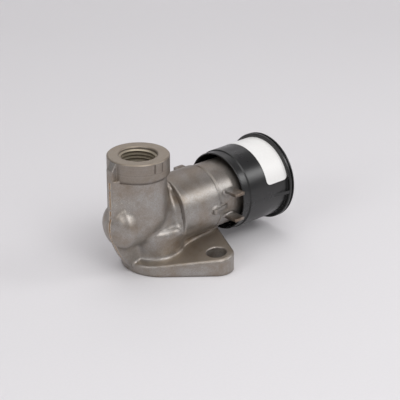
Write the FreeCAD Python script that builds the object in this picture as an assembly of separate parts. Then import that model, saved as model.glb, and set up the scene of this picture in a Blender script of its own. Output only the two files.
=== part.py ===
"""Quick release valve for an air brake line, at its real size in millimetres.

The port axis is Z and meets the mounting face at the origin. The barrel runs along X, towards the
silencer cap at +X. The casting is drawn in a die that opens along Y, so the XZ plane is its parting plane.
"""

import math
import os

import FreeCAD
import Part

V = FreeCAD.Vector
os.makedirs("parts", exist_ok=True)

# Overall places
axis_z = 22.6               # height of the barrel axis over the mounting face
port_top_z = 52.0           # machined top of the supply port
clearance = 0.3             # between pieces that pass or turn by hand
slip = 0.05                 # radial clearance of a guided or seated piece

# Supply port, M16 x 1.5
thread_major_r = 8.0        # the crests of the thread stand inside this bore
thread_depth = 13.0
drill_point = 1.5
port_r = 13.0               # turned collar round the port
port_band_h = 7.8
port_edge = 0.35            # chamfer of the collar and of the thread's mouth
neck_r = 11.7
neck_foot_r = 11.9
neck_foot_rise = 5.4        # the neck starts to round off this far over the barrel axis
neck_foot_lift = 1.2        # its lowest point, over the underside of the blind end
neck_fillet = 2.4           # between neck and blind end
lip_round = 0.4             # under the collar

# Rib down the back of the neck, in the parting plane
rib_half_w = 1.8
rib_x = -15.2
rib_top_drop = 3.0
rib_flank = (-12.0, 3.2)    # X and Y where its flank turns
rib_root = (-10.2, 5.75)    # X and Y where it runs out on the neck

# Rounded blind end of the barrel
lobe_r = 9.8
lobe_flat = 9.8             # length of its straight part behind the port axis
lobe_dome = 6.0

# Barrel
shoulder_x = 13.2
shoulder_fillet = 1.4       # between neck and shoulder, beside the neck
head_fillet = 0.9           # between blind end and shoulder, smaller than the fillet beside the neck
barrel_r = 14.6
step_x = 33.0
spigot_step = 0.5
step_groove = 0.35          # depth of the turned groove in front of the step
step_groove_w = 0.9
spigot_r = barrel_r - spigot_step
spigot_end_x = 53.0
spigot_chamfer = 0.6
edge_round = 0.7

# Bell and web between barrel and flange
bell_x = 9.3
bell_foot_r = 10.2          # on the flange
bell_r = 14.2               # at its top, before the top edge is rounded
bell_top_z = 20.0
bell_round = 3.5
web_root_x = 10.8
web_root_half_w = 9.9
web_waist_x = 21.5
web_half_w = 7.4
web_end_x = 34.0
foot_fillet = 1.2           # between bell or web and flange

# Gusset from the blind end down to the flange's rim, in the parting plane
gusset_x = -13.5
gusset_z = 15.0
gusset_belly = 3.9          # its spine bulges through this far from gusset_x at half height
gusset_foot_z = 2.2

# Flange
disc_x = 12.3
disc_r = 17.6
bolt_x = 23.2
bolt_y = 22.3
ear_r = 7.4
nose_x = 36.0
nose_r = 5.0
flange_h = 5.2              # thickness under the port axis
flange_slope = 0.116        # rise of its top per millimetre of X
flange_round = 1.1
flange_edge = 0.5
bolt_hole_r = 4.25
bolt_chamfer = 0.3

# Passages
passage_r = 5.0
supply_end_x = -8.0
seat_lip_x = 17.3
seat_lip_r = 6.0
seat_lip_h = 0.8
seat_lip_slope = 0.4
chamber_end_x = 30.0
delivery_r = 5.0
delivery_deep = 7.0         # bored mouth; a smaller cored passage goes on into the chamber
delivery_core_r = 4.4
seal_wire = 2.6
seal_mean_r = 9.0
seal_groove_deep = 2.0

# Cast lugs beside the cap
lug_x = 36.2
lug_len = 5.2
lug_reach = 20.2
lug_thick = 1.3
lug_round = 0.5             # of its upright edges
lug_root = 0.6              # lugs start at this share of the spigot's radius
upper_lug_z = 5.6           # underside of the upper pair over the barrel axis
lower_lug_z = -5.9
ramp_x = 27.6
ramp_len = 10.0
ramp_reach = 17.0
ramp_top_z = 1.0            # over the barrel axis
ramp_thick = 2.0
ramp_root = 0.8             # as a share of the spigot's radius

# Bayonet between barrel and cap
lock_count = 4
lock_width_deg = 34.0
lock_thick = 2.0
lock_out_r = 15.9
lock_root = 1.5
hook_in_r = spigot_r + clearance
hook_thick = 2.4
hook_root = 0.5             # a hook goes this far into the cap's wall
stop_width_deg = 5.0
stop_gap_deg = 0.8

# Valve member
valve_travel = 2.5
cup_thick = 3.0
cup_lip_len = 1.6
cup_lip_wall = 1.1
stem_shank_r = 2.5
stem_guide_r = 2.0
stem_head_r = 3.9
stem_head_h = 1.4
stem_chamfer = 0.5          # at the stem's tip, and how far it stays inside the sleeve
stem_head_edge = 0.4
cup_edge = 0.6              # chamfer of the cup's back
cup_taper = 0.15            # the cup's rim over its body, so that the lip seals
cup_fold = 1.3              # depth of the fold between lip and nose ring
washer_gap = 1.2            # between front washer and nose
back_washer_gap = 1.4       # between back washer and supply seat
washer_h = 0.6
clip_gap = 1.4              # from the clip's rim to the front washer's
clip_h = 0.7
clip_groove_r = 1.6
clip_mouth = 0.85           # half the clip's opening, as a share of the groove

# Exhaust seat, pressed against its shoulder by a snap ring
seat_body_r = 11.2
seat_body_len = 10.0
seat_wall = 2.8
nose_ledge = 4.0            # the nose's outside is this far inside the body's
nose_wall = 1.4
nose_edge = 0.6
chamber_ledge = 0.7         # shoulder in the casting that the seat stands on
hub_wall = 1.3
hub_len = 5.0
hub_from_mouth = 1.0
bush_wall = 1.05
spoke_w = 1.8
spoke_count = 3
seal_ring_wire = 1.8
seal_squeeze = 0.2          # of a seal in its groove
seat_bore_start = 1.5       # the wide bore starts this far from the shoulder
seal_ring_from_x = 3.0      # its groove, from the shoulder
seal_ring_room = 1.3        # the groove is this many wires wide
snap_h = 1.2
snap_depth = 1.1            # of its groove in the casting
snap_w = 2.3
snap_gap_half = 2.2         # half the ring's opening
snap_eye_y = 3.2
snap_eye_r = 1.7
snap_eye_hole_r = 0.8
snap_eye_rise = 0.3         # the eyes' middle, outside the ring's inner edge

# Return spring
spring_wire_r = 0.4
spring_gap = 0.85           # from the coil's mean radius to the front washer's rim
spring_turns = 5.0

# Silencer cap
cap_mouth_x = 43.8
cap_collar_len = 3.7
cap_collar_slope = 0.4      # from collar to body, and from the wide mouth to the bore
cap_mouth_round = 0.5
cap_collar_r = 17.1
cap_r = 17.6
cap_mouth_in_r = 16.5
cap_wall = 1.5
cap_end_x = 72.5
rim_r = 19.3
rim_len = 2.9
rim_edge = 0.5
rim_back_edge = 0.3
rim_groove = 0.8
rim_groove_from = 0.35      # as shares of the rim's length
rim_groove_to = 0.65
end_wall = 2.0
slot_count = 12
slot_w = 2.6
slot_in_r = 7.0
slot_out_r = 14.2
brace_len = 8.0
brace_w = 1.5
brace_root = 0.4            # a brace goes this far into the cap's wall
brace_degs = (-6.0, 186.0, 270.0)
gasket_h = 2.0
gasket_wall = 3.2
gasket_inset = 0.6          # of its rim, inside the spigot's

# Silencer filling
plate_h = 1.6
plate_hole_r = 1.5
plate_hole_rings = ((4.6, 6), (8.8, 12))    # pitch radius and number of holes
screen_h = 0.5
screen_hole_r = 2.0
screen_hole_rings = ((7.0, 6), (12.4, 10))
screen_gap = 0.2            # between a screen and the cap's wall

# Label
label_x = 57.6
label_len = 12.0
label_thick = 0.12
label_from_deg = 13.0
label_to_deg = 135.0
label_corner = 2.0

# Derived sizes
chamber_x = seat_lip_x - seat_lip_h
chamber_r = seat_body_r - chamber_ledge
cup_r = chamber_r - clearance
nose_out_r = seat_body_r - nose_ledge
nose_in_r = nose_out_r - nose_wall
washer_r = nose_in_r - washer_gap
clip_r = washer_r - clip_gap
spring_mean_r = washer_r - spring_gap
seat_bore_r = seat_body_r - seat_wall
bush_r = stem_guide_r + slip + bush_wall
hub_r = bush_r + hub_wall
snap_out_r = seat_body_r + snap_depth
snap_in_r = snap_out_r - snap_w
cup_x = seat_lip_x + slip
cup_back_x = cup_x + cup_thick
washer_x = cup_back_x
clip_x = washer_x + washer_h
nose_tip_x = cup_back_x + cup_lip_len + valve_travel + slip
seat_end_x = chamber_end_x + seat_body_len
hub_x = seat_end_x - hub_from_mouth - hub_len
lock_x = spigot_end_x - lock_thick
hook_x = lock_x - clearance - hook_thick
cap_in_r = cap_r - cap_wall
gasket_x = spigot_end_x + slip
plate_x = gasket_x + gasket_h
screen_x = plate_x + plate_h
cap_floor_x = cap_end_x - end_wall


def cylinder_x(r, x0, x1, z=axis_z):
    return Part.makeCylinder(r, x1 - x0, V(x0, 0, z), V(1, 0, 0))


def ring_x(out_r, in_r, x0, x1):
    return cylinder_x(out_r, x0, x1).cut(cylinder_x(in_r, x0 - 1, x1 + 1))


def block(x0, x1, y0, y1, z0, z1):
    return Part.makeBox(x1 - x0, y1 - y0, z1 - z0, V(x0, y0, z0))


def face_of(points, place):
    corners = [place(*p) for p in points]
    return Part.Face(Part.makePolygon(corners + corners[:1]))


def turned_x(profile):
    """Solid of revolution about the barrel axis, from (x, r) corners or (start, mid, end) arcs."""
    return turned(profile, lambda x, r: V(x, 0, axis_z + r), V(0, 0, axis_z), V(1, 0, 0))


def turned_z(profile, x=0.0):
    """Solid of revolution about a vertical axis, from (r, z) corners or arcs."""
    return turned(profile, lambda r, z: V(x + r, 0, z), V(x, 0, 0), V(0, 0, 1))


def turned(profile, place, centre, axis):
    edges = []
    first = None
    last = None
    for item in profile + [None]:
        arc = item is not None and len(item) == 3
        start = first if item is None else place(*(item[0] if arc else item))
        if first is None:
            first = start
        if last is not None and (last - start).Length > 1e-7:
            edges.append(Part.makeLine(last, start))
        last = start
        if arc:
            end = place(*item[2])
            edges.append(Part.Arc(start, place(*item[1]), end).toShape())
            last = end
    return Part.Face(Part.Wire(edges)).revolve(centre, axis, 360)


def sector_x(out_r, in_r, x0, x1, mid_deg, width_deg):
    """Part of a ring about the barrel axis. Angles run from -Y up over +Z."""
    solid = ring_x(out_r, in_r, x0, x1)
    reach = out_r * 3
    half = math.radians(width_deg / 2)
    across, up = reach * math.cos(half), reach * math.sin(half)
    wedge = face_of(
        [(0, 0), (across, up), (across, -up)],
        lambda u, v: V(x0 - 1, -u, axis_z + v),
    ).extrude(V(x1 - x0 + 2, 0, 0))
    return solid.common(turn_x(wedge, mid_deg))


def turn_x(shape, deg):
    """Turned about the barrel axis, from -Y up over +Z."""
    return shape.rotated(V(0, 0, axis_z), V(1, 0, 0), -deg)


def torus_x(mean_r, wire_r, x):
    return Part.makeTorus(mean_r, wire_r, V(x, 0, axis_z), V(1, 0, 0))


def union(first, *others):
    return first.fuse(list(others)).removeSplitter()


def edges_where(shape, test):
    return [edge for edge in shape.Edges if test(edge)]


def seam(whole, first, second):
    """Edges where the skins of two joined solids meet."""
    skins = [Part.Compound(first.Faces), Part.Compound(second.Faces)]

    def on_both(edge):
        start, span = edge.FirstParameter, edge.LastParameter - edge.FirstParameter
        points = [Part.Vertex(edge.valueAt(start + span * part)) for part in (0.25, 0.5, 0.75)]
        return all(skin.distToShape(point)[0] < 0.001 for skin in skins for point in points)

    return edges_where(whole, lambda edge: edge.Length > 0.01 and on_both(edge))


# Flange: a disc, two ears and a nose in one convex outline, its top sloping up towards the cap
def tangent_line(c1, r1, c2, r2):
    """Outer tangent on the right of the way from circle 1 to circle 2."""
    dx, dy = c2[0] - c1[0], c2[1] - c1[1]
    length = math.hypot(dx, dy)
    heading = math.atan2(dy, dx)
    offset = math.acos((r1 - r2) / length)
    angle = heading - offset
    normal = (math.cos(angle), math.sin(angle))
    return [(c[0] + r * normal[0], c[1] + r * normal[1]) for c, r in ((c1, r1), (c2, r2))]


def flange_outline():
    circles = [
        ((disc_x, 0), disc_r),
        ((bolt_x, -bolt_y), ear_r),
        ((nose_x, 0), nose_r),
        ((bolt_x, bolt_y), ear_r),
    ]
    lines = []
    for i in range(len(circles)):
        (c1, r1), (c2, r2) = circles[i], circles[(i + 1) % len(circles)]
        lines.append(tangent_line(c1, r1, c2, r2))
    edges = []
    for i, line in enumerate(lines):
        edges.append(Part.makeLine(V(*line[0], 0), V(*line[1], 0)))
        centre, r = circles[(i + 1) % len(circles)]
        start = line[1]
        end = lines[(i + 1) % len(lines)][0]
        a0 = math.atan2(start[1] - centre[1], start[0] - centre[0])
        a1 = math.atan2(end[1] - centre[1], end[0] - centre[0])
        while a1 < a0:
            a1 += 2 * math.pi
        mid = (a0 + a1) / 2
        middle = V(centre[0] + r * math.cos(mid), centre[1] + r * math.sin(mid), 0)
        edges.append(Part.Arc(V(*start, 0), middle, V(*end, 0)).toShape())
    return Part.Wire(edges)


def flange_top(x):
    return flange_h + flange_slope * x


def flange():
    tall = 4 * flange_h
    plate = Part.Face(flange_outline()).extrude(V(0, 0, tall))
    far = 3 * lug_reach
    above = face_of(
        [(-far, flange_top(-far)), (far, flange_top(far)), (far, far), (-far, far)],
        lambda x, z: V(x, -far, z),
    ).extrude(V(0, 2 * far, 0))
    plate = plate.cut(above)
    top = edges_where(plate, lambda e: e.BoundBox.ZMin > flange_top(disc_x - disc_r) - 0.01)
    plate = plate.makeFillet(flange_round, top)
    low = edges_where(plate, lambda e: e.BoundBox.ZMax < 0.001)
    return plate.makeChamfer(flange_edge, low)


# Housing casting: port, neck, blind end, barrel, bell and flange in one piece
def port_neck():
    """Turned collar, drawn neck, and a rounded lower end like half an egg."""
    band_z = port_top_z - port_band_h
    foot_z = axis_z + neck_foot_rise
    depth = foot_z - (axis_z - lobe_r) - neck_foot_lift
    bend = lip_round * (1 - math.sqrt(0.5))
    points = [
        V(neck_foot_r * math.sin(t), 0, foot_z - depth * math.cos(t))
        for t in [math.radians(22.5 * i) for i in range(5)]
    ]
    curve = Part.BSplineCurve()
    curve.interpolate(Points=points, InitialTangent=V(1, 0, 0), FinalTangent=V(0, 0, 1))
    egg = Part.Face(Part.Wire([
        curve.toShape(),
        Part.makeLine(points[-1], V(0, 0, foot_z)),
        Part.makeLine(V(0, 0, foot_z), points[0]),
    ])).revolve(V(0, 0, 0), V(0, 0, 1), 360)
    return union(egg, turned_z([
        (0, foot_z),
        (neck_foot_r, foot_z),
        ((neck_r, band_z - lip_round), (neck_r + bend, band_z - bend), (neck_r + lip_round, band_z)),
        (port_r, band_z),
        (port_r, port_top_z - port_edge),
        (port_r - port_edge, port_top_z),
        (0, port_top_z),
    ]))


def shoulder_fill():
    """Concave fillets that run up beside the neck, from the barrel axis to the top of the shoulder."""
    r = shoulder_fillet
    cx = shoulder_x - r
    cy = math.sqrt((neck_r + r) ** 2 - cx ** 2)
    touch_x = cx * neck_r / (neck_r + r)
    touch_y = cy * neck_r / (neck_r + r)
    mid = math.atan2(touch_y - cy, touch_x - cx) / 2
    bend_x = cx + r * math.cos(mid)
    bend_y = cy + r * math.sin(mid)
    left = [V(touch_x, -touch_y, axis_z), V(bend_x, -bend_y, axis_z), V(shoulder_x, -cy, axis_z)]
    right = [V(shoulder_x, cy, axis_z), V(bend_x, bend_y, axis_z), V(touch_x, touch_y, axis_z)]
    edges = [
        Part.Arc(*left).toShape(),
        Part.makeLine(left[-1], right[0]),
        Part.Arc(*right).toShape(),
        Part.makeLine(right[-1], left[0]),
    ]
    prism = Part.Face(Part.Wire(edges)).extrude(V(0, 0, barrel_r))
    return prism.common(cylinder_x(barrel_r - edge_round, 0, shoulder_x + edge_round))


def blind_end():
    tip = -lobe_flat - lobe_dome
    quarter = math.radians(90)
    start = V(-lobe_flat, 0, axis_z + lobe_r)
    arc = [
        V(-lobe_flat - lobe_dome * math.sin(t), 0, axis_z + lobe_r * math.cos(t))
        for t in (0, quarter / 4, quarter / 2, quarter * 3 / 4, quarter)
    ]
    curve = Part.BSplineCurve()
    curve.interpolate(Points=arc, InitialTangent=V(-1, 0, 0), FinalTangent=V(0, 0, -1))
    edges = [
        Part.makeLine(V(shoulder_x, 0, axis_z), V(shoulder_x, 0, axis_z + lobe_r)),
        Part.makeLine(V(shoulder_x, 0, axis_z + lobe_r), start),
        curve.toShape(),
        Part.makeLine(V(tip, 0, axis_z), V(shoulder_x, 0, axis_z)),
    ]
    return Part.Face(Part.Wire(edges)).revolve(V(0, 0, axis_z), V(1, 0, 0), 360)


def barrel():
    bend = edge_round * (1 - math.sqrt(0.5))
    return turned_x([
        (shoulder_x, 0),
        (
            (shoulder_x, barrel_r - edge_round),
            (shoulder_x + bend, barrel_r - bend),
            (shoulder_x + edge_round, barrel_r),
        ),
        (step_x - step_groove, barrel_r),
        (step_x, spigot_r - step_groove),
        (step_x + step_groove_w, spigot_r - step_groove),
        (step_x + step_groove_w + step_groove, spigot_r),
        (spigot_end_x - spigot_chamfer, spigot_r),
        (spigot_end_x, spigot_r - spigot_chamfer),
        (spigot_end_x, 0),
    ])


def bell():
    """Pedestal that widens upwards from the flange into the barrel's shoulder."""
    flare = (bell_r - bell_foot_r) / (bell_top_z - flange_h)
    low = flange_h / 2
    outline = [(0, low), (bell_foot_r - flare * low, low), (bell_r, bell_top_z), (0, bell_top_z)]
    solid = turned_z(outline, bell_x)
    top = edges_where(solid, lambda e: e.BoundBox.ZMin > bell_top_z - 0.01)
    return solid.makeFillet(bell_round, top)


def web():
    """Foot that carries the barrel on the flange, narrower behind the bell."""
    low = flange_h / 2
    high = axis_z - barrel_r * 0.75
    half = [(web_root_x, web_root_half_w), (web_waist_x, web_half_w), (web_end_x, web_half_w)]
    outline = half + [(x, -y) for x, y in reversed(half)]
    return face_of(outline, lambda x, y: V(x, y, low)).extrude(V(0, 0, high - low))


def rib():
    """Rib down the back of the neck, with its flanks running out on the neck."""
    top = port_top_z - port_edge
    spine = face_of(
        [(0, axis_z), (rib_x, axis_z), (rib_x, top - rib_top_drop), (-port_r + 0.1, top), (0, top)],
        lambda x, z: V(x, -rib_half_w, z),
    ).extrude(V(0, 2 * rib_half_w, 0))
    half = [(rib_x, rib_half_w), rib_flank, rib_root, (0, rib_root[1])]
    outline = half + [(x, -y) for x, y in reversed(half)]
    flanks = face_of(outline, lambda x, y: V(x, y, axis_z)).extrude(V(0, 0, port_top_z - port_band_h - axis_z))
    return union(spine, flanks)


def gusset():
    """Thin wall in the parting plane, from the blind end down over the flange's rim."""
    rim_x = disc_x - disc_r
    spine = Part.Arc(
        V(gusset_x, -rib_half_w, gusset_z),
        V(gusset_x + gusset_belly, -rib_half_w, gusset_z / 2),
        V(rim_x, -rib_half_w, gusset_foot_z),
    ).toShape()
    foot = [(rim_x, gusset_foot_z), (bell_x, gusset_foot_z)]
    head = [(bell_x, axis_z), (gusset_x, axis_z), (gusset_x, gusset_z)]
    corners = [V(x, -rib_half_w, z) for x, z in foot + head]
    sides = [Part.makeLine(corners[i], corners[i + 1]) for i in range(len(corners) - 1)]
    return Part.Face(Part.Wire([spine] + sides)).extrude(V(0, 2 * rib_half_w, 0))


def lugs():
    solids = []
    for side in (-1, 1):
        for z in (upper_lug_z, lower_lug_z):
            inner = spigot_r * lug_root
            y0, y1 = sorted((side * inner, side * lug_reach))
            plate = block(lug_x, lug_x + lug_len, y0, y1, axis_z + z, axis_z + z + lug_thick)
            upright = edges_where(
                plate,
                lambda e: e.BoundBox.ZLength > lug_thick / 2 and abs(e.BoundBox.Center.y) > spigot_r,
            )
            solids.append(plate.makeFillet(lug_round, upright))
        ramp = face_of(
            [
                (ramp_x, side * spigot_r * ramp_root),
                (ramp_x, side * (ramp_reach - edge_round)),
                (ramp_x + edge_round, side * ramp_reach),
                (ramp_x + ramp_len, side * spigot_r * 0.99),
                (ramp_x + ramp_len, side * spigot_r * ramp_root),
            ],
            lambda x, y: V(x, y, axis_z + ramp_top_z - ramp_thick),
        ).extrude(V(0, 0, ramp_thick))
        solids.append(ramp)
    return solids


def lock_lugs():
    solids = []
    for i in range(lock_count):
        mid = i * 360.0 / lock_count
        lug_mid = mid - stop_width_deg / 2
        lug_width = lock_width_deg + stop_width_deg
        solids.append(sector_x(lock_out_r, spigot_r - lock_root, lock_x, spigot_end_x, lug_mid, lug_width))
        stop_mid = mid - (lock_width_deg + stop_width_deg + stop_gap_deg) / 2
        stop_width = stop_width_deg - stop_gap_deg
        solids.append(sector_x(lock_out_r, spigot_r - lock_root, hook_x, lock_x + 0.1, stop_mid, stop_width))
    return solids


def housing():
    neck, end = port_neck(), blind_end()
    head = union(neck, end)
    head = head.makeFillet(neck_fillet, seam(head, neck, end))
    tube = barrel()
    top = union(head, tube, shoulder_fill())
    top = top.makeFillet(head_fillet, seam(top, head, tube))
    plate, pedestal = flange(), union(bell(), web())
    base = union(plate, pedestal)
    base = base.makeFillet(foot_fillet, seam(base, plate, pedestal))
    body = union(top, base, rib(), gusset(), *lugs(), *lock_lugs())
    port_tools = turned_z([
        (0, axis_z),
        (passage_r, axis_z),
        (passage_r, port_top_z - thread_depth - drill_point),
        (thread_major_r, port_top_z - thread_depth),
        (thread_major_r, port_top_z - port_edge),
        (thread_major_r + port_edge, port_top_z),
        (thread_major_r + port_edge, port_top_z + 1),
        (0, port_top_z + 1),
    ])
    barrel_tools = turned_x([
        (supply_end_x, 0),
        (supply_end_x + passage_r * 0.6, passage_r),
        (seat_lip_x, passage_r),
        (seat_lip_x, seat_lip_r),
        (chamber_x, seat_lip_r + seat_lip_slope),
        (chamber_x, chamber_r),
        (chamber_end_x, chamber_r),
        (chamber_end_x, seat_body_r + slip),
        (spigot_end_x + 1, seat_body_r + slip),
        (spigot_end_x + 1, 0),
    ])
    snap_groove = ring_x(snap_out_r + slip, seat_body_r - 1, seat_end_x, seat_end_x + snap_h)
    delivery = turned_z([
        (0, 0),
        (delivery_r, 0),
        (delivery_r, delivery_deep),
        (delivery_core_r, delivery_deep + delivery_r - delivery_core_r),
        (delivery_core_r, axis_z),
        (0, axis_z),
    ], bolt_x)
    half_groove = seal_wire / 2 + seal_squeeze
    groove = Part.makeCylinder(seal_mean_r + half_groove, seal_groove_deep, V(bolt_x, 0, 0)).cut(
        Part.makeCylinder(seal_mean_r - half_groove, seal_groove_deep, V(bolt_x, 0, 0)))
    body = body.cut([port_tools, barrel_tools, snap_groove, delivery, groove])
    for side in (-1, 1):
        top = flange_top(bolt_x)
        tilt = V(-flange_slope, 0, 1)
        mouth = V(bolt_x, side * bolt_y, top)
        body = body.cut(Part.makeCylinder(bolt_hole_r, 2 * top, V(bolt_x, side * bolt_y, -top / 2)))
        sink = Part.makeCone(
            bolt_hole_r - bolt_chamfer, bolt_hole_r + 3 * bolt_chamfer, 4 * bolt_chamfer,
            mouth - tilt * (2 * bolt_chamfer), tilt,
        )
        body = body.cut(sink)
    return body.removeSplitter()


# Seal between the mounting face and what the valve sits on
def base_seal():
    wire = seal_wire / 2
    ring = Part.makeTorus(seal_mean_r, wire, V(bolt_x, 0, seal_groove_deep - wire))
    return ring.common(Part.makeCylinder(seal_mean_r * 2, seal_groove_deep, V(bolt_x, 0, 0)))


# Valve member: stem, rubber cup between two washers, and clip
def valve_stem():
    head_x = cup_x - washer_h
    end_x = seat_end_x - stem_chamfer
    return turned_x([
        (head_x - stem_head_h, 0),
        (head_x - stem_head_h, stem_head_r - stem_head_edge),
        (head_x - stem_head_h + stem_head_edge, stem_head_r),
        (head_x, stem_head_r),
        (head_x, stem_shank_r),
        (cup_back_x, stem_shank_r),
        (cup_back_x, stem_guide_r),
        (clip_x, stem_guide_r),
        (clip_x, clip_groove_r),
        (clip_x + clip_h, clip_groove_r),
        (clip_x + clip_h, stem_guide_r),
        (end_x - stem_chamfer, stem_guide_r),
        (end_x, stem_guide_r - stem_chamfer),
        (end_x, 0),
    ])


def valve_cup():
    """Rubber cup. Its back face closes the supply seat and its front face the exhaust nose."""
    lip_x = cup_back_x + cup_lip_len
    fold_x = cup_back_x - cup_fold + 0.5
    return turned_x([
        (cup_x, stem_shank_r),
        (cup_x, cup_r - 1.0),
        (cup_x + cup_edge, cup_r - 0.5),
        (cup_back_x, cup_r - cup_taper),
        (lip_x, cup_r),
        (lip_x, cup_r - cup_lip_wall * 0.5),
        (cup_back_x + 0.2, cup_r - cup_lip_wall - 0.2),
        (fold_x, nose_out_r + 0.9),
        (fold_x, nose_out_r + 0.5),
        (cup_back_x, nose_out_r + 0.3),
        (lip_x, nose_out_r),
        (lip_x, nose_in_r - 0.3),
        (cup_back_x, nose_in_r - 0.7),
        (cup_back_x, stem_shank_r),
    ])


def valve_washers():
    back = ring_x(seat_lip_r - back_washer_gap, stem_shank_r + slip, cup_x - washer_h, cup_x)
    front = ring_x(washer_r, stem_guide_r + slip, washer_x, washer_x + washer_h)
    return Part.makeCompound([back, front])


def valve_clip():
    """E-type clip in the stem's groove, open on one side."""
    ring = ring_x(clip_r, clip_groove_r, clip_x, clip_x + clip_h)
    half = clip_groove_r * clip_mouth
    mouth = block(clip_x - 1, clip_x + clip_h + 1, -half, half, axis_z - clip_r - 1, axis_z)
    return ring.cut(mouth)


def return_spring():
    """Round wire coil between the front washer and the hub of the exhaust seat."""
    x0 = clip_x + spring_wire_r
    x1 = hub_x - spring_wire_r
    pitch = (x1 - x0) / spring_turns
    path = Part.makeHelix(pitch, x1 - x0, spring_mean_r)
    heading = V(0, 1, pitch / (2 * math.pi * spring_mean_r))
    wire = Part.Wire([Part.Circle(V(spring_mean_r, 0, 0), heading, spring_wire_r).toShape()])
    coil = Part.Wire(path).makePipeShell([wire], True, True)
    coil.rotate(V(0, 0, 0), V(0, 1, 0), 90)
    coil.translate(V(x0, 0, axis_z))
    return coil


# Exhaust seat: turned sleeve with a sealing nose, a spoked hub and a groove for its seal
def exhaust_seat():
    groove_x = chamber_end_x + seal_ring_from_x
    groove_r = seat_body_r - seal_ring_wire + seal_squeeze
    bore_x = chamber_end_x + seat_bore_start
    body = turned_x([
        (nose_tip_x, nose_in_r),
        (nose_tip_x, nose_in_r + nose_edge),
        (nose_tip_x + nose_edge, nose_out_r),
        (chamber_end_x + slip, nose_out_r),
        (chamber_end_x + slip, seat_body_r),
        (groove_x, seat_body_r),
        (groove_x, groove_r),
        (groove_x + seal_ring_wire * seal_ring_room, groove_r),
        (groove_x + seal_ring_wire * seal_ring_room, seat_body_r),
        (seat_end_x, seat_body_r),
        (seat_end_x, seat_bore_r),
        (bore_x + (seat_bore_r - nose_in_r), seat_bore_r),
        (bore_x, nose_in_r),
    ])
    hub = cylinder_x(hub_r, hub_x, hub_x + hub_len)
    spokes = []
    for i in range(spoke_count):
        spoke = block(hub_x, hub_x + hub_len, -spoke_w / 2, spoke_w / 2, axis_z, axis_z + seat_bore_r + 0.5)
        spokes.append(turn_x(spoke, i * 360.0 / spoke_count))
    spider = union(hub, *spokes).cut(cylinder_x(bush_r, hub_x - 1, hub_x + hub_len + 1))
    return union(body, spider)


def guide_bush():
    return ring_x(bush_r, stem_guide_r + slip, hub_x, hub_x + hub_len)


def seat_seal():
    groove_x = chamber_end_x + seal_ring_from_x
    wire = seal_ring_wire / 2
    ring = torus_x(seat_body_r - wire + seal_squeeze, wire, groove_x + seal_ring_wire * seal_ring_room / 2)
    return ring.common(cylinder_x(seat_body_r + slip, groove_x - 1, groove_x + 2 * seal_ring_wire))


def snap_ring():
    """Internal circlip with two eyes."""
    ring = ring_x(snap_out_r, snap_in_r, seat_end_x, seat_end_x + snap_h)
    low = axis_z - snap_out_r - 1
    gap = block(seat_end_x - 1, seat_end_x + snap_h + 1, -snap_gap_half, snap_gap_half, low, axis_z)
    ring = ring.cut(gap)
    for side in (-1, 1):
        place = V(seat_end_x, side * snap_eye_y, axis_z - snap_in_r + snap_eye_rise)
        ring = ring.fuse(Part.makeCylinder(snap_eye_r, snap_h, place, V(1, 0, 0)))
    ring = ring.common(cylinder_x(snap_out_r, seat_end_x, seat_end_x + snap_h))
    for side in (-1, 1):
        place = V(seat_end_x - 1, side * snap_eye_y, axis_z - snap_in_r + snap_eye_rise)
        ring = ring.cut(Part.makeCylinder(snap_eye_hole_r, snap_h + 2, place, V(1, 0, 0)))
    return ring


# Silencer cap: moulded shell with bayonet hooks, a rim flange and slots in its end
def cap_shell():
    collar_x = cap_mouth_x + cap_collar_len
    rim_x = cap_end_x - rim_len
    groove_x = rim_x + rim_len * rim_groove_from
    groove_end_x = rim_x + rim_len * rim_groove_to
    shell = turned_x([
        (
            (cap_mouth_x + cap_mouth_round, cap_mouth_in_r),
            (cap_mouth_x, (cap_mouth_in_r + cap_collar_r) / 2),
            (cap_mouth_x + cap_mouth_round, cap_collar_r),
        ),
        (collar_x, cap_collar_r),
        (collar_x + cap_collar_slope, cap_r),
        (rim_x, cap_r),
        (rim_x, rim_r - rim_back_edge),
        (rim_x + rim_back_edge, rim_r),
        (groove_x, rim_r),
        (groove_x, rim_r - rim_groove),
        (groove_end_x, rim_r - rim_groove),
        (groove_end_x, rim_r),
        (cap_end_x - rim_edge, rim_r),
        (cap_end_x, rim_r - rim_edge),
        (cap_end_x, 0),
        (cap_floor_x, 0),
        (cap_floor_x, cap_in_r),
        (hook_x, cap_in_r),
        (hook_x - cap_collar_slope, cap_mouth_in_r),
    ])
    hooks = []
    for i in range(lock_count):
        middle = i * 360.0 / lock_count
        hook_end_x = hook_x + hook_thick
        hooks.append(sector_x(cap_in_r + hook_root, hook_in_r, hook_x, hook_end_x, middle, lock_width_deg))
    braces = []
    for angle in brace_degs:
        brace = face_of(
            [
                (rim_x + rim_edge, cap_r - brace_root),
                (rim_x - brace_len, cap_r - brace_root),
                (rim_x - brace_len, cap_r),
                (rim_x, rim_r - brace_root),
                (rim_x + rim_edge, rim_r - brace_root),
            ],
            lambda x, r: V(x, -r, axis_z - brace_w / 2),
        ).extrude(V(0, 0, brace_w))
        braces.append(turn_x(brace, angle))
    shell = union(shell, *hooks, *braces)
    half_w = slot_w / 2
    for i in range(slot_count):
        slot = block(cap_floor_x - 1, cap_end_x + 1, -half_w, half_w, axis_z + slot_in_r, axis_z + slot_out_r)
        shell = shell.cut(turn_x(slot, i * 360.0 / slot_count))
    return shell


def cap_gasket():
    out_r = spigot_r - gasket_inset
    return ring_x(out_r, out_r - gasket_wall, gasket_x, gasket_x + gasket_h)


def holes(radius, rings, x0, x1):
    solids = [cylinder_x(radius, x0 - 1, x1 + 1)]
    for pitch_r, count in rings:
        for i in range(count):
            a = math.radians(i * 360.0 / count)
            place = V(x0 - 1, pitch_r * math.sin(a), axis_z + pitch_r * math.cos(a))
            solids.append(Part.makeCylinder(radius, x1 - x0 + 2, place, V(1, 0, 0)))
    return solids


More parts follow.
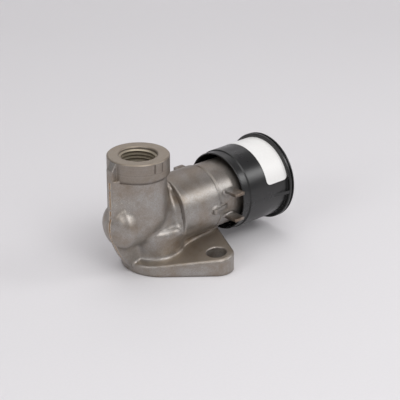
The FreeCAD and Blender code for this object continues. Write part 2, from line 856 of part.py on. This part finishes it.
def baffle_plate():
    """Moulded perforated plate that holds the packing in the cap."""
    plate = cylinder_x(cap_in_r, plate_x, plate_x + plate_h)
    return plate.cut(holes(plate_hole_r, plate_hole_rings, plate_x, plate_x + plate_h))


def pack_screens():
    solids = []
    for x in (screen_x, cap_floor_x - screen_h):
        disc = cylinder_x(cap_in_r - screen_gap, x, x + screen_h)
        solids.append(disc.cut(holes(screen_hole_r, screen_hole_rings, x, x + screen_h)))
    return Part.makeCompound(solids)


def silencer_pack():
    return cylinder_x(cap_in_r, screen_x + screen_h, cap_floor_x - screen_h)


def label():
    """Blank wrap label on the cap, with round corners."""
    span = label_to_deg - label_from_deg
    middle = (label_to_deg + label_from_deg) / 2
    band = sector_x(cap_r + label_thick, cap_r, label_x, label_x + label_len, middle, span)
    for end, towards in ((label_from_deg, 1), (label_to_deg, -1)):
        corner_deg = math.degrees(label_corner / cap_r)
        for x, away in ((label_x, 1), (label_x + label_len, -1)):
            x0, x1 = sorted((x - away, x + away * label_corner))
            middle = end + towards * (corner_deg - 2) / 2
            corner = sector_x(cap_r + 1, cap_r - 1, x0, x1, middle, corner_deg + 2)
            heart = V(x + away * label_corner, 0, axis_z)
            centre = Part.makeCylinder(label_corner, cap_r * 2, heart, V(0, -1, 0))
            centre = turn_x(centre, end + towards * corner_deg)
            band = band.cut(corner.cut(centre))
    return band


PIECES = {
    "housing": housing,
    "base_seal": base_seal,
    "valve_stem": valve_stem,
    "valve_cup": valve_cup,
    "valve_washers": valve_washers,
    "valve_clip": valve_clip,
    "return_spring": return_spring,
    "exhaust_seat": exhaust_seat,
    "guide_bush": guide_bush,
    "seat_seal": seat_seal,
    "snap_ring": snap_ring,
    "cap_shell": cap_shell,
    "cap_gasket": cap_gasket,
    "baffle_plate": baffle_plate,
    "pack_screens": pack_screens,
    "silencer_pack": silencer_pack,
    "label": label,
}

for name, make in PIECES.items():
    shape = make()
    shape.exportStep("parts/" + name + ".step")
    box = shape.BoundBox
    print(
        name, "solids", len(shape.Solids), "valid", shape.isValid(), "volume", round(shape.Volume, 1),
        "x", round(box.XMin, 2), round(box.XMax, 2), "y", round(box.YMin, 2), round(box.YMax, 2),
        "z", round(box.ZMin, 2), round(box.ZMax, 2),
    )
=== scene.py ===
import math

import bmesh
import bpy
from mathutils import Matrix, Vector
from mathutils.bvhtree import BVHTree


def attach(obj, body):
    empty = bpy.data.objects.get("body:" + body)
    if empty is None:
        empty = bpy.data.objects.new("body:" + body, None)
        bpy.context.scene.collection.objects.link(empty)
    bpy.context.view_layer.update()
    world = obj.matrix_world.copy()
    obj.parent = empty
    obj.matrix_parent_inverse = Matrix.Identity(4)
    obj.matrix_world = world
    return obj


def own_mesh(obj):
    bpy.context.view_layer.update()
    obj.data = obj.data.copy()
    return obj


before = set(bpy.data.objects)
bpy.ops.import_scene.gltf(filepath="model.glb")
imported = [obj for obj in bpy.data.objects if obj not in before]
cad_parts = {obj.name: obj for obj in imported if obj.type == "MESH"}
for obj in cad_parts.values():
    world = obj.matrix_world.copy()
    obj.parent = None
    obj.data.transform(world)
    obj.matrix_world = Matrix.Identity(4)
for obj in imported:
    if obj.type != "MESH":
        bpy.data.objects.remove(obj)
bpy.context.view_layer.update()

# Camera
# A long lens from the left and a little above, as the product photograph was taken. Its place and the
# point that it looks at were fitted to the rims of the port and the cap.
MM = 0.001
eye = Vector((-352.93, -430.47, 278.12)) * MM
target = Vector((13.665, -22.593, 34.72)) * MM
camera = bpy.data.objects.new("camera", bpy.data.cameras.new("camera"))
camera.data.lens = 132.25
camera.data.sensor_width = 36.0
camera.location = eye
camera.rotation_euler = (target - eye).to_track_quat("-Z", "Y").to_euler()
bpy.context.collection.objects.link(camera)
bpy.context.scene.camera = camera


# Floor and backdrop
# One sheet of pale paper that lies under the valve and curves up behind it, squarely to the picture.
# It is a touch cool, with fibres of about a millimetre.
def linear(code):
    """Linear colour from an sRGB hex code."""
    parts = [int(code[i:i + 2], 16) / 255 for i in (1, 3, 5)]
    return [p / 12.92 if p <= 0.04045 else ((p + 0.055) / 1.055) ** 2.4 for p in parts] + [1.0]


def node(tree, kind, inputs=None, **settings):
    """Adds one shader node, sets its properties and fills or links its inputs by name or number."""
    new = tree.nodes.new("ShaderNode" + kind)
    for name, value in settings.items():
        setattr(new, name, value)
    for name, value in (inputs or {}).items():
        if isinstance(value, bpy.types.NodeSocket):
            tree.links.new(value, new.inputs[name])
        else:
            new.inputs[name].default_value = value
    return new


def new_material(name):
    """Empty material, with its tree and the place on the piece that its patterns read."""
    material = bpy.data.materials.new(name)
    material.use_nodes = True
    tree = material.node_tree
    tree.nodes.clear()
    return material, tree, node(tree, "TexCoord").outputs["Object"]


def finish_material(tree, surface):
    shader = node(tree, "BsdfPrincipled", surface)
    node(tree, "OutputMaterial", {"Surface": shader.outputs[0]})


def mesh_object(name, bm, material, sharp_deg):
    """Object from finished geometry, shaded smooth but for edges sharper than the angle."""
    mesh = bpy.data.meshes.new(name)
    bmesh.ops.recalc_face_normals(bm, faces=bm.faces)
    bm.to_mesh(mesh)
    bm.free()
    mesh.materials.append(material)
    mesh.shade_smooth()
    mesh.set_sharp_from_angle(angle=math.radians(sharp_deg))
    obj = bpy.data.objects.new(name, mesh)
    bpy.context.collection.objects.link(obj)
    return obj


paper, tree, place = new_material("seamless_paper")
fibre_width = 1.11 * MM
fibre = node(tree, "TexNoise", {"Vector": place, "Scale": 1 / fibre_width, "Detail": 3.0}).outputs["Fac"]
tint = node(tree, "Mix", {
    "Factor": fibre, 6: linear("#DEDCDE"), 7: linear("#E2E0E2"),
}, data_type="RGBA").outputs[2]
finish_material(tree, {"Base Color": tint, "Roughness": 0.9, "Specular IOR Level": 0.2})
near_end = -1.6
bend_start = 0.35
bend_r = 0.5
bend_steps = 24
wall_top = 2.2
half_width = 2.0
heading = math.radians(-41.95)
profile = [(near_end, 0.0), (bend_start, 0.0)]
for i in range(1, bend_steps + 1):
    turn = math.pi / 2 * i / bend_steps
    profile.append((bend_start + bend_r * math.sin(turn), bend_r * (1 - math.cos(turn))))
profile.append((bend_start + bend_r, wall_top))
side = Vector((math.cos(heading), math.sin(heading), 0))
ahead = Vector((-side.y, side.x, 0))
bm = bmesh.new()
rows = []
for across in (-half_width, half_width):
    rows.append([bm.verts.new(ahead * d + side * across + Vector((0, 0, h))) for d, h in profile])
for i in range(len(profile) - 1):
    bm.faces.new((rows[0][i], rows[0][i + 1], rows[1][i + 1], rows[1][i]))
mesh_object("paper_sweep", bm, paper, 80)

# Studio light
# Soft boxes all round, the strongest over the valve, at the left and above the camera, with a small one
# close by that draws the highlight along cap and barrel. The room itself is pale.
world = bpy.data.worlds.new("room")
bpy.context.scene.world = world
world.use_nodes = True
background = world.node_tree.nodes["Background"]
background.inputs["Color"].default_value = linear("#E6E5E7")
background.inputs["Strength"].default_value = 0.38
for name, spot, size, watts in (
    ("top_box", (0.10, 0.10, 0.95), 0.75, 2.2),
    ("boom_box", (0.0, -0.55, 0.85), 0.6, 1.6),
    ("left_box", (-0.95, -0.10, 0.55), 0.5, 2.2),
    ("right_box", (0.75, -0.65, 0.55), 0.4, 1.5),
    ("front_box", (-0.20, -0.65, 0.60), 0.5, 2.3),
    ("back_box", (0.55, 0.65, 0.60), 0.6, 0.9),
    ("spot_box", (0.32, -0.28, 0.28), 0.10, 0.12),
):
    lamp = bpy.data.lights.new(name, "AREA")
    lamp.size = size
    lamp.energy = watts
    box = bpy.data.objects.new(name, lamp)
    box.location = spot
    box.rotation_euler = (target - box.location).to_track_quat("-Z", "Y").to_euler()
    bpy.context.collection.objects.link(box)
bpy.context.scene.view_settings.view_transform = "Standard"


# Housing
# Pressure die casting in aluminium, satin and stained as it leaves the die, with a torn flash line where
# the die halves met. Only the port's top and collar are turned, so rings show there.
def dress(material, *names):
    """Gives CAD nodes their finish."""
    for name in names:
        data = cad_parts[name].data
        data.materials.clear()
        data.materials.append(material)


def overlap(tree, mask, *others):
    """Where all of the masks meet, made weaker by any number among them."""
    for other in others:
        mask = node(tree, "Math", {0: mask, 1: other}, operation="MULTIPLY").outputs[0]
    return mask


def inside(tree, value, low, high, edge):
    """1 where the value lies between low and high, fading over the edge width outside them."""
    rise = node(tree, "MapRange", {"Value": value, "From Min": low - edge, "From Max": low})
    fall = node(tree, "MapRange", {
        "Value": value, "From Min": high, "From Max": high + edge, "To Min": 1.0, "To Max": 0.0,
    })
    return overlap(tree, rise.outputs[0], fall.outputs[0])


casting, tree, place = new_material("raw_die_casting")
where = node(tree, "SeparateXYZ", {"Vector": place})
x, y, z = where.outputs["X"], where.outputs["Y"], where.outputs["Z"]
away = node(tree, "Math", {0: y}, operation="ABSOLUTE").outputs[0]
round_port = node(tree, "CombineXYZ", {"X": x, "Y": y}).outputs[0]
radius = node(tree, "VectorMath", {0: round_port}, operation="LENGTH").outputs["Value"]
far = 1.0

# Oxide stains, paler clouds and the grain of the die, which is drawn coarser than the real one so that
# it shows. The corners are darkened with painted shade.
stain_width = 13.3 * MM
cloud_width = 3.85 * MM
grain_width = 0.526 * MM
corner_reach = 2.5 * MM
stain = node(tree, "TexNoise", {
    "Vector": place, "Scale": 1 / stain_width, "Detail": 5.0, "Roughness": 0.6, "Distortion": 0.5,
}).outputs["Fac"]
cloud = node(tree, "TexNoise", {
    "Vector": place, "Scale": 1 / cloud_width, "Detail": 4.0, "Roughness": 0.6,
}).outputs["Fac"]
grain = node(tree, "TexNoise", {
    "Vector": place, "Scale": 1 / grain_width, "Detail": 3.0, "Roughness": 0.65,
}).outputs["Fac"]
hollow = node(tree, "AmbientOcclusion", {"Distance": corner_reach}, samples=8).outputs["AO"]
stained = node(tree, "MapRange", {"Value": stain, "From Min": 0.4, "From Max": 0.64}).outputs[0]
clouded = node(tree, "MapRange", {
    "Value": cloud, "From Min": 0.3, "From Max": 0.7, "To Max": 0.5,
}).outputs[0]
speckled = node(tree, "MapRange", {
    "Value": grain, "From Min": 0.35, "From Max": 0.7, "To Max": 0.5,
}).outputs[0]
# Painted shade: darker brown where the corners close in, by how occluded they are.
corner_shade = node(tree, "MapRange", {
    "Value": hollow, "From Min": 0.3, "From Max": 0.9, "To Min": 0.4, "To Max": 0.0,
}).outputs[0]

# The flange's top is browner. The barrel's crest is darkened with painted shade, the cast lugs too in
# patches that follow the stains, and a painted highlight in bright grain lies where the rib meets the blind
# end.
facing = node(tree, "SeparateXYZ", {"Vector": node(tree, "NewGeometry").outputs["Normal"]}).outputs["Z"]
upward = node(tree, "MapRange", {"Value": facing, "From Min": 0.75, "From Max": 0.97}).outputs[0]
ledge = overlap(tree, upward, inside(tree, z, 0.0, 11.0 * MM, 1.0 * MM))
# Painted shade: the barrel's top above the axis is darker.
over_axis = inside(tree, z, 33.5 * MM, 40.0 * MM, 3.0 * MM)
crest_shade = overlap(tree, over_axis, inside(tree, x, 14.0 * MM, 60.0 * MM, 1.0 * MM))
beside_barrel = inside(tree, away, 14.4 * MM, far, 0.8 * MM)
# Painted shade on the cast lugs, in patches that follow the stains.
lug_shade = overlap(tree, inside(tree, x, 35.5 * MM, 41.6 * MM, 0.4 * MM), beside_barrel)
# Painted highlight, broken up as bright grain, on the blind end's top beside the rib.
rib_foot = inside(tree, z, 31.0 * MM, 36.0 * MM, 2.0 * MM)
rib_end_glint = overlap(tree, inside(tree, x, -16.0 * MM, -9.0 * MM, 1.0 * MM), rib_foot)
glint_grain = node(tree, "MapRange", {
    "Value": grain, "From Min": 0.56, "From Max": 0.66, "To Max": 0.7,
}).outputs[0]

# The flash line is torn off unevenly, rusty brown with pale borders.
tear_length = 1.43 * MM
tears = node(tree, "TexNoise", {
    "Vector": place, "Scale": 1 / tear_length, "Detail": 2.0, "Roughness": 0.7,
}).outputs["Fac"]
torn = node(tree, "MapRange", {"Value": tears, "From Min": 0.36, "From Max": 0.5}).outputs[0]
back_height = inside(tree, z, 4.0 * MM, 43.0 * MM, 0.5 * MM)
back = overlap(tree, inside(tree, x, -far, -8.0 * MM, 1.0 * MM), back_height)
border = overlap(tree, inside(tree, away, -far, 0.55 * MM, 0.3 * MM), back, torn)
flash = overlap(tree, inside(tree, away, -far, 0.24 * MM, 0.15 * MM), back, torn)

# The port's top and collar are turned, with two short scores down the side and painted shadow under the
# collar's lip. The rings of the lathe are drawn wider apart than the real ones so that they show.
collar_low = 44.2 * MM
collar_r = 13.0 * MM
port_top = 52.0 * MM
ring_gap = 0.667 * MM
score_middle = 0.11 * MM
score_reach = 1.92 * MM
score_half = 0.25 * MM
over_lip = inside(tree, z, collar_low + 0.2 * MM, far, 0.1 * MM)
turned = overlap(tree, over_lip, inside(tree, radius, 0.0, collar_r + 0.05 * MM, 0.05 * MM))
around = node(tree, "Math", {0: radius, 1: z}, operation="ADD").outputs[0]
rings = node(tree, "TexNoise", {
    "W": around, "Scale": 1 / ring_gap, "Detail": 4.0,
}, noise_dimensions="1D").outputs["Fac"]
bands = node(tree, "Mix", {
    "Factor": rings, 6: linear("#6E645A"), 7: linear("#978C80"),
}, data_type="RGBA").outputs[2]
crown = overlap(tree, inside(tree, z, port_top - 0.25 * MM, far, 0.1 * MM), turned)
from_middle = node(tree, "Math", {0: x, 1: score_middle}, operation="SUBTRACT").outputs[0]
beside = node(tree, "Math", {0: from_middle}, operation="ABSOLUTE").outputs[0]
in_score = inside(tree, beside, score_reach - score_half, score_reach + score_half, 0.2 * MM)
near_side = inside(tree, y, -far, -11.0 * MM, 1.0 * MM)
scores = overlap(tree, in_score, near_side, inside(tree, z, 47.6 * MM, 51.2 * MM, 0.3 * MM))
# Painted shadow: a dark band just under the collar's lip.
under_lip = inside(tree, z, collar_low - 0.9 * MM, collar_low, 0.5 * MM)
lip_shadow = overlap(tree, under_lip, inside(tree, radius, 0.0, 12.6 * MM, 0.2 * MM))

tone = linear("#A3A09D")
for share, colour in (
    (stained, linear("#8E8071")),
    (clouded, linear("#B8B5B2")),
    (speckled, linear("#857A6F")),
    # painted shade in the corners
    (corner_shade, linear("#64543F")),
    (overlap(tree, ledge, 0.55), linear("#ADA090")),
    # painted shade on the barrel's crest
    (overlap(tree, crest_shade, 0.45), linear("#6B6157")),
    # painted shade on the lugs
    (overlap(tree, lug_shade, stained), linear("#66574A")),
    # painted highlight on the blind end's top
    (overlap(tree, rib_end_glint, glint_grain), linear("#D6CEC3")),
    (border, linear("#CDBFAC")),
    (flash, linear("#8A6A4C")),
    (overlap(tree, turned, 0.5), bands),
    (overlap(tree, crown, 0.55), linear("#A39684")),
    (overlap(tree, scores, 0.6), linear("#4E443B")),
    # painted shadow under the lip
    (overlap(tree, lip_shadow, 0.4), linear("#4A4038")),
):
    tone = node(tree, "Mix", {"Factor": share, 6: tone, 7: colour}, data_type="RGBA").outputs[2]
edge_r = 0.9 * MM
normal = node(tree, "Bevel", {"Radius": edge_r}, samples=6).outputs[0]
for height, strength, depth, sunk in (
    (grain, 0.45, 0.06 * MM, False),
    (cloud, 0.4, 0.15 * MM, False),
    (stain, 0.35, 0.5 * MM, False),
    (flash, 1.0, 0.12 * MM, False),
    (overlap(tree, rings, turned), 0.35, 0.04 * MM, False),
    (scores, 0.8, 0.25 * MM, True),
):
    normal = node(tree, "Bump", {
        "Height": height, "Strength": strength, "Distance": depth, "Normal": normal,
    }, invert=sunk).outputs[0]
rough = node(tree, "MapRange", {"Value": cloud, "To Min": 0.32, "To Max": 0.5}).outputs[0]
finish_material(tree, {"Base Color": tone, "Metallic": 0.85, "Roughness": rough, "Normal": normal})
dress(casting, "housing")

# Cast fillets
# Every inner corner of the casting is blended, widest where neck, shoulder and pedestal meet. The strips
# are the housing's own skin, meshed evenly and relaxed, kept where it then stands out of the solid.
BODY = "body"
voxel = 0.5 * MM
relax_share = 0.5
relax_rounds = 45
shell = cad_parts["housing"]
skin = shell.data.copy()
skin.transform(shell.matrix_world)
draft = bpy.data.objects.new("draft", skin)
bpy.context.collection.objects.link(draft)
even = draft.modifiers.new("even", "REMESH")
even.mode = "VOXEL"
even.voxel_size = voxel
relax = draft.modifiers.new("relax", "SMOOTH")
relax.factor = relax_share
relax.iterations = relax_rounds
relaxed = bpy.data.meshes.new_from_object(draft.evaluated_get(bpy.context.evaluated_depsgraph_get()))
bpy.data.objects.remove(draft)
solid = bmesh.new()
solid.from_mesh(skin)
solid_tree = BVHTree.FromBMesh(solid)
solid.free()
bm = bmesh.new()
bm.from_mesh(relaxed)

# On each side neck, shoulder and pedestal make a pocket, which the fillet fills most.
pocket_rounds = 80
pocket_left = 5.0 * MM
pocket_right = 14.5 * MM
pocket_inner = 4.0 * MM
pocket_low = 13.0 * MM
pocket_high = 41.0 * MM
pocket = [
    vert for vert in bm.verts
    if pocket_left < vert.co.x < pocket_right
    and abs(vert.co.y) > pocket_inner
    and pocket_low < vert.co.z < pocket_high
]
for i in range(pocket_rounds):
    bmesh.ops.smooth_vert(
        bm, verts=pocket, factor=relax_share, use_axis_x=True, use_axis_y=True, use_axis_z=True,
    )

# Limits of the outer skin, each a little outside the bore or turned face that it leaves out.
axis_z = 22.6 * MM
skin_low = 2.1 * MM
skin_high = 43.0 * MM
foot_x = 23.2 * MM
foot_r = 6.8 * MM
port_r = 9.0 * MM
bore_left = -9.0 * MM
bore_r = 8.0 * MM
chamber_left = 13.0 * MM
chamber_r = 12.0 * MM
spigot_left = 26.0 * MM
spigot_low = 12.0 * MM
spigot_r = 13.0 * MM
lug_r = 14.3 * MM
lug_inner = 13.0 * MM


def in_view(spot):
    """Outer skin alone: not the bores, the collar, the turned spigot or the mounting face."""
    to_barrel = math.hypot(spot.y, spot.z - axis_z)
    to_port = math.hypot(spot.x, spot.y)
    to_foot = math.hypot(spot.x - foot_x, spot.y)
    if not skin_low <= spot.z <= skin_high:
        return False
    if spot.x > spigot_left and to_barrel > spigot_r and spot.z > spigot_low:
        return to_barrel > lug_r and abs(spot.y) > lug_inner
    in_barrel = to_barrel < (bore_r if spot.x < chamber_left else chamber_r) and spot.x > bore_left
    in_port = to_port < port_r and spot.z > axis_z
    in_foot = to_foot < foot_r and spot.z < axis_z
    return not (in_barrel or in_port or in_foot)


least_rise = 0.02 * MM
most_rise = 4.0 * MM
stands_out = {}
for vert in bm.verts:
    near, outward, index, distance = solid_tree.find_nearest(vert.co)
    rise = (vert.co - near).dot(outward)
    stands_out[vert] = rise > least_rise and distance < most_rise and in_view(vert.co)
sunk_faces = [face for face in bm.faces if not any(stands_out[vert] for vert in face.verts)]
bmesh.ops.delete(bm, geom=sunk_faces, context="FACES")
fillets = mesh_object("cast_fillets", bm, casting, 180)
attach(fillets, BODY)


# Port thread
# M16 x 1.5 thread cut in the casting: one helical ridge with 60 degree flanks, its crests left bright
# by the tap. The solid has the plain bore that the ridge stands in.
def mottled(name, dark, light, width, pattern, strength, depth, surface):
    """Material whose colour and fine relief follow one noise, whose patches have the given width."""
    material, tree, place = new_material(name)
    patches = node(tree, "TexNoise", {"Vector": place, "Scale": 1 / width, **pattern}).outputs["Fac"]
    tone = node(tree, "Mix", {
        "Factor": patches, 6: linear(dark), 7: linear(light),
    }, data_type="RGBA").outputs[2]
    relief = node(tree, "Bump", {"Height": patches, "Strength": strength, "Distance": depth}).outputs[0]
    finish_material(tree, {"Base Color": tone, "Normal": relief, **surface})
    return material


# The tap leaves short bright tears in the metal.
tear_length = 0.625 * MM
bright = mottled(
    "tapped_aluminium", "#9C9281", "#C4BAA8", tear_length, {"Detail": 3.0}, 0.3, 0.03 * MM,
    {"Metallic": 0.8, "Roughness": 0.42},
)
pitch = 1.5 * MM
major_r = 8.03 * MM
minor_r = 7.19 * MM
thread_low = 39.05 * MM
turns = 7.75
turn_steps = 64
# Radius of each corner of the ridge, and its height as a share of the pitch.
ridge = ((major_r, 0.0), (minor_r, 0.32), (minor_r, 0.45), (major_r, 0.77))
bm = bmesh.new()
corners = [bm.verts.new((r, 0, thread_low + pitch * share)) for r, share in ridge]
outline = [bm.edges.new((corners[i], corners[i + 1])) for i in range(len(corners) - 1)]
bmesh.ops.spin(
    bm, geom=corners + outline, cent=(0, 0, 0), axis=(0, 0, 1), dvec=(0, 0, pitch / turn_steps),
    angle=math.radians(360 * turns), steps=round(turn_steps * turns), use_merge=False, use_duplicate=False,
)
thread = mesh_object("port_thread", bm, bright, 50)
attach(thread, BODY)

# Cap, packing plate and their packing
# Cap and plate are moulded in black nylon with a satin face; behind the slots lie a wire screen and a
# pad of pressed fibre that takes the noise out of the exhaust.
black, tree, place = new_material("moulded_black_nylon")
# The mould gives a fine grain, and a haze in wide patches where the gloss changes.
grain_width = 0.435 * MM
haze_width = 8.33 * MM
edge_r = 0.35 * MM
grain = node(tree, "TexNoise", {"Vector": place, "Scale": 1 / grain_width, "Detail": 2.0}).outputs["Fac"]
haze = node(tree, "TexNoise", {"Vector": place, "Scale": 1 / haze_width, "Detail": 3.0}).outputs["Fac"]
tone = node(tree, "Mix", {
    "Factor": haze, 6: linear("#161617"), 7: linear("#212121"),
}, data_type="RGBA").outputs[2]
rough = node(tree, "MapRange", {"Value": haze, "To Min": 0.22, "To Max": 0.36}).outputs[0]
soft = node(tree, "Bevel", {"Radius": edge_r}, samples=6).outputs[0]
normal = node(tree, "Bump", {
    "Height": grain, "Strength": 0.2, "Distance": 0.02 * MM, "Normal": soft,
}).outputs[0]
finish_material(tree, {"Base Color": tone, "Roughness": rough, "IOR": 1.53, "Normal": normal})
dress(black, "cap_shell", "baffle_plate")

# The pad's matted strands are grey and dull.
strand_width = 0.667 * MM
felt = mottled(
    "pressed_fibre", "#5E5B55", "#B4AFA3", strand_width, {"Detail": 4.0, "Distortion": 2.5}, 0.8, 0.2 * MM,
    {"Roughness": 0.95, "Specular IOR Level": 0.1},
)
dress(felt, "silencer_pack")

# Label
# White self-adhesive vinyl, cut from a sheet and wrapped round the cap. It is bare, with the faint
# orange peel of its pressed face.
peel_width = 0.909 * MM
white = mottled(
    "white_vinyl", "#E6E5E3", "#EEEDEB", peel_width, {"Detail": 2.0}, 0.1, 0.02 * MM, {"Roughness": 0.42},
)
dress(white, "label")

# Rubber pieces
# The cup, the base seal, the seat's O-ring and the cap's gasket are moulded in black nitrile rubber,
# dull with a bloom of dust.
dust_width = 1.11 * MM
rubber = mottled(
    "nitrile_rubber", "#19191A", "#2E2D2D", dust_width, {"Detail": 4.0}, 0.3, 0.03 * MM, {"Roughness": 0.68},
)
dress(rubber, "base_seal", "valve_cup", "seat_seal", "cap_gasket")

# Turned pieces
# Stem and washers are zinc plated steel, the exhaust seat is turned brass and the bush in its hub is
# bronze. Each shows the fine rings of the lathe round the barrel axis.
ring_gap = 0.1667 * MM
for name, dark, light, gloss, nodes in (
    ("zinc_plated_steel", "#8E9091", "#B9BCBD", 0.28, ("valve_stem", "valve_washers")),
    ("turned_brass", "#A98743", "#C9A860", 0.27, ("exhaust_seat",)),
    ("sintered_bronze", "#8A6540", "#A57E54", 0.5, ("guide_bush",)),
):
    finish, tree, place = new_material(name)
    across = node(tree, "Mapping", {
        "Vector": place, "Location": (0, 0, -axis_z), "Scale": (0, 1, 1),
    }).outputs[0]
    out = node(tree, "VectorMath", {0: across}, operation="LENGTH").outputs["Value"]
    along = node(tree, "SeparateXYZ", {"Vector": place}).outputs["X"]
    lathe = node(tree, "Math", {0: out, 1: along}, operation="ADD").outputs[0]
    rings = node(tree, "TexNoise", {
        "W": lathe, "Scale": 1 / ring_gap, "Detail": 2.0,
    }, noise_dimensions="1D").outputs["Fac"]
    tone = node(tree, "Mix", {
        "Factor": rings, 6: linear(dark), 7: linear(light),
    }, data_type="RGBA").outputs[2]
    normal = node(tree, "Bump", {"Height": rings, "Strength": 0.4, "Distance": 0.02 * MM}).outputs[0]
    finish_material(tree, {"Base Color": tone, "Metallic": 1.0, "Roughness": gloss, "Normal": normal})
    dress(finish, *nodes)

# Spring, clip, snap ring and screens
# Drawn or stamped spring steel, oiled and dark; the screens are punched from bare stainless sheet. All
# are faintly flecked with mill scale.
fleck_width = 0.769 * MM
for name, dark, light, gloss, nodes in (
    ("oiled_spring_steel", "#3B3B3D", "#5C5D60", 0.36, ("valve_clip", "snap_ring")),
    ("drawn_spring_wire", "#77797B", "#9FA1A3", 0.32, ("return_spring",)),
    ("stainless_sheet", "#85878A", "#A9ABAD", 0.34, ("pack_screens",)),
):
    finish = mottled(
        name, dark, light, fleck_width, {"Detail": 4.0}, 0.25, 0.02 * MM,
        {"Metallic": 1.0, "Roughness": gloss},
    )
    dress(finish, *nodes)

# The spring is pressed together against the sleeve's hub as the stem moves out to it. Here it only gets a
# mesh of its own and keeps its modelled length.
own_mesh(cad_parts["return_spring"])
